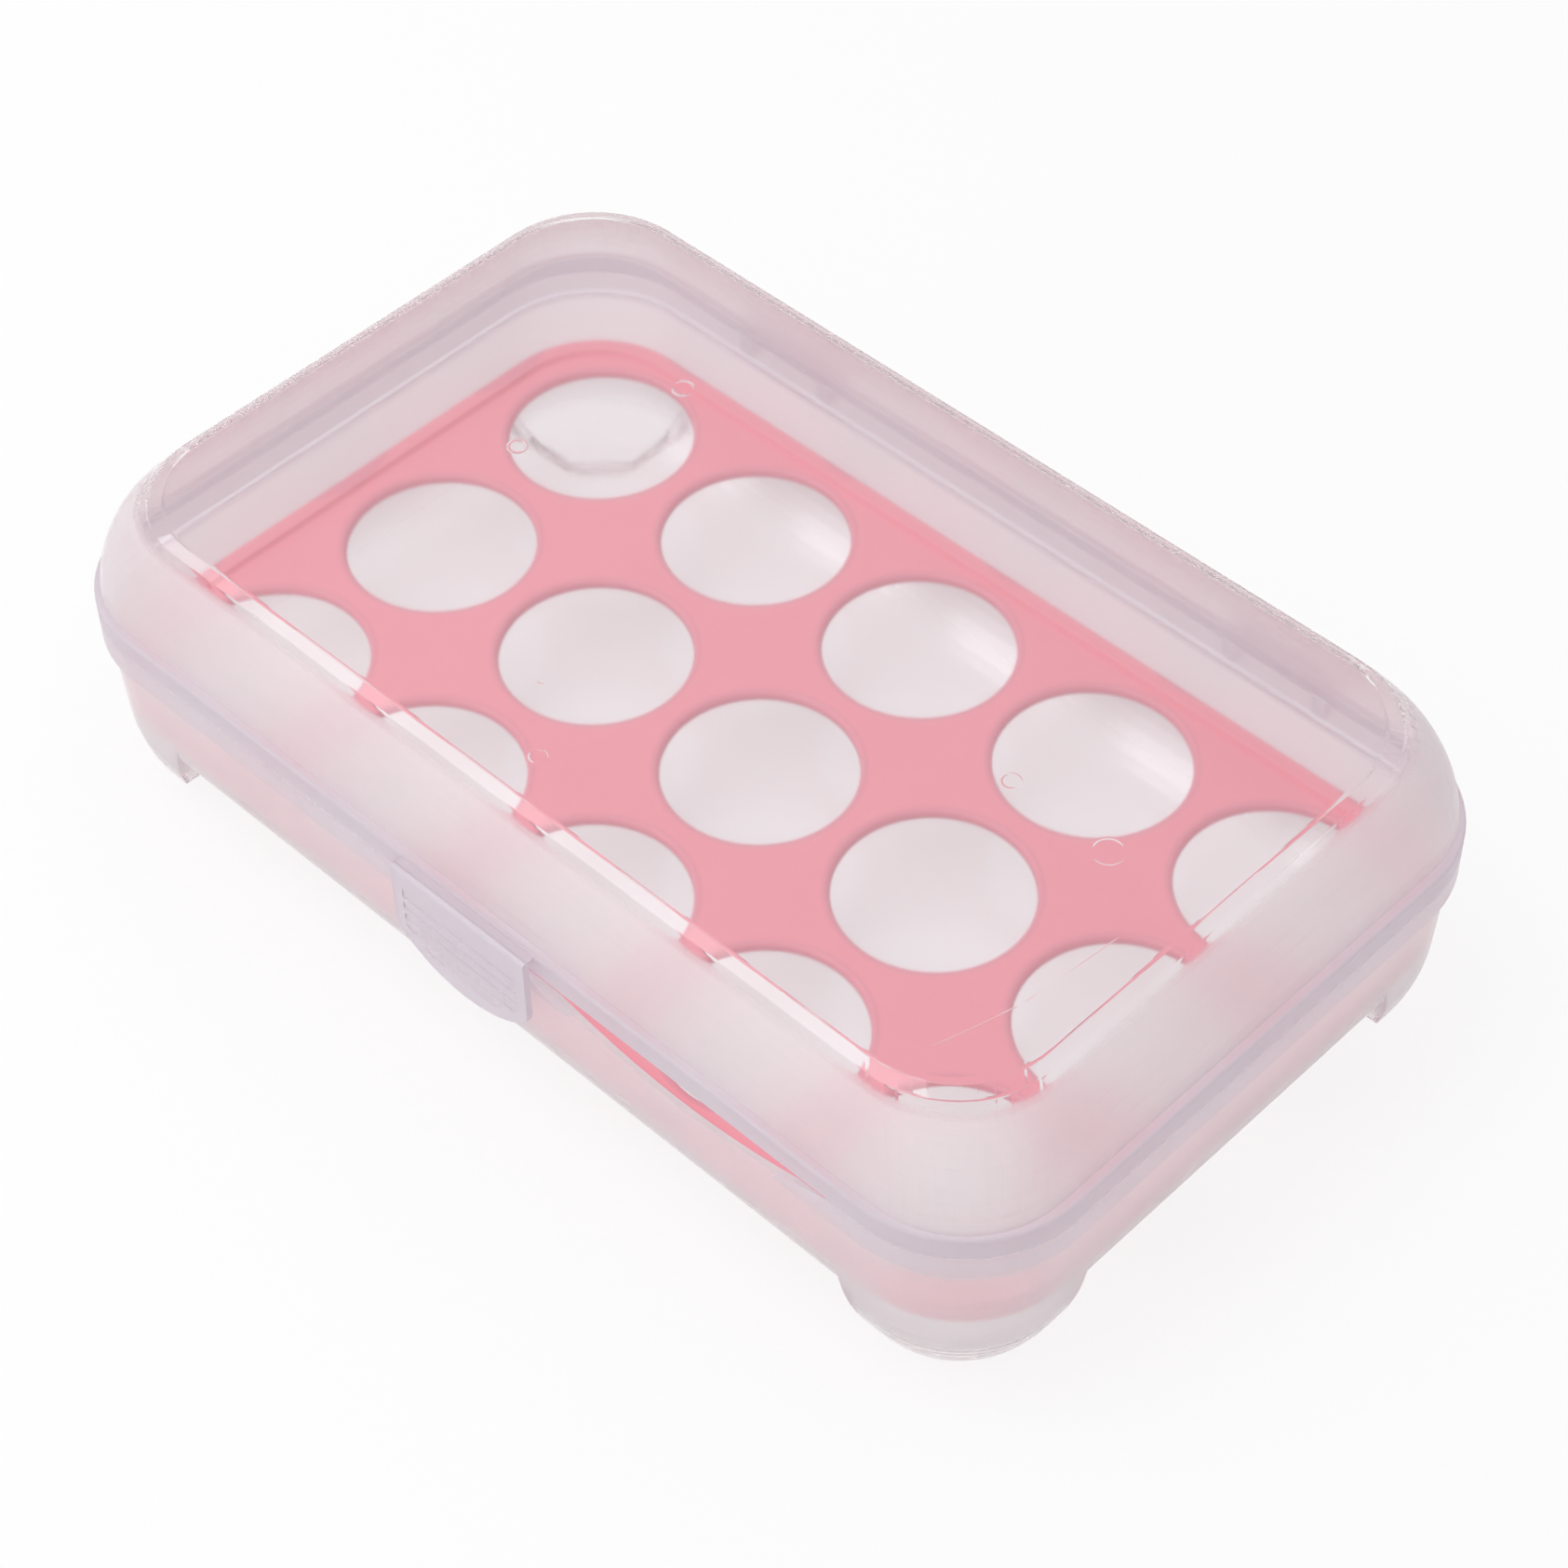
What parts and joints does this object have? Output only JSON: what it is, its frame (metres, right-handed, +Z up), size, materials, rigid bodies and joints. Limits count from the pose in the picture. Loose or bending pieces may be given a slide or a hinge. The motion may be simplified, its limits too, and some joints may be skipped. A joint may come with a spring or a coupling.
{
  "type": "egg keeper with flip lid",
  "caption": "Low oblong kitchen box for eggs: frosted footed base, drop-in pink tray of round holes, hinged domed lid with a clear top and a front latch tab.",
  "frame": {"origin": "on the table under the middle of the closed box, halfway between the front of the latch tab and the back of the hinge, level with the soles of the feet", "axes": "+X along the length, +Y from the latch at the front to the hinge at the back, +Z up"},
  "size_m": [0.245, 0.1606, 0.0695],
  "materials": {
    "base": "frosted translucent",
    "egg_tray": "satin",
    "lid": "frosted sides, clear polished top",
    "latch_tab": "frosted translucent"
  },
  "bodies": {
    "base": {"base": "base"},
    "lid": {"lid": "lid"},
    "latch_tab": {"latch_tab": "latch_tab"},
    "egg_tray": {"egg_tray": "egg_tray"}
  },
  "joints": [
    {"name": "lid_hinge", "type": "hinge", "parent": "base", "child": "lid", "pos_m": [0, 0.07698, 0.042], "axis": [-1, 0, 0], "range_deg": [0, 180]},
    {"name": "latch_film_hinge", "type": "hinge", "parent": "lid", "child": "latch_tab", "pos_m": [0, -0.07956, 0.0458], "axis": [-1, 0, 0], "range_deg": [0, 75], "stiffness_Nm_per_rad": 0.02},
    {"name": "tray_lift", "type": "slide", "parent": "base", "child": "egg_tray", "axis": [0, 0, 1], "range_m": [0, 0.0165]}
  ]
}
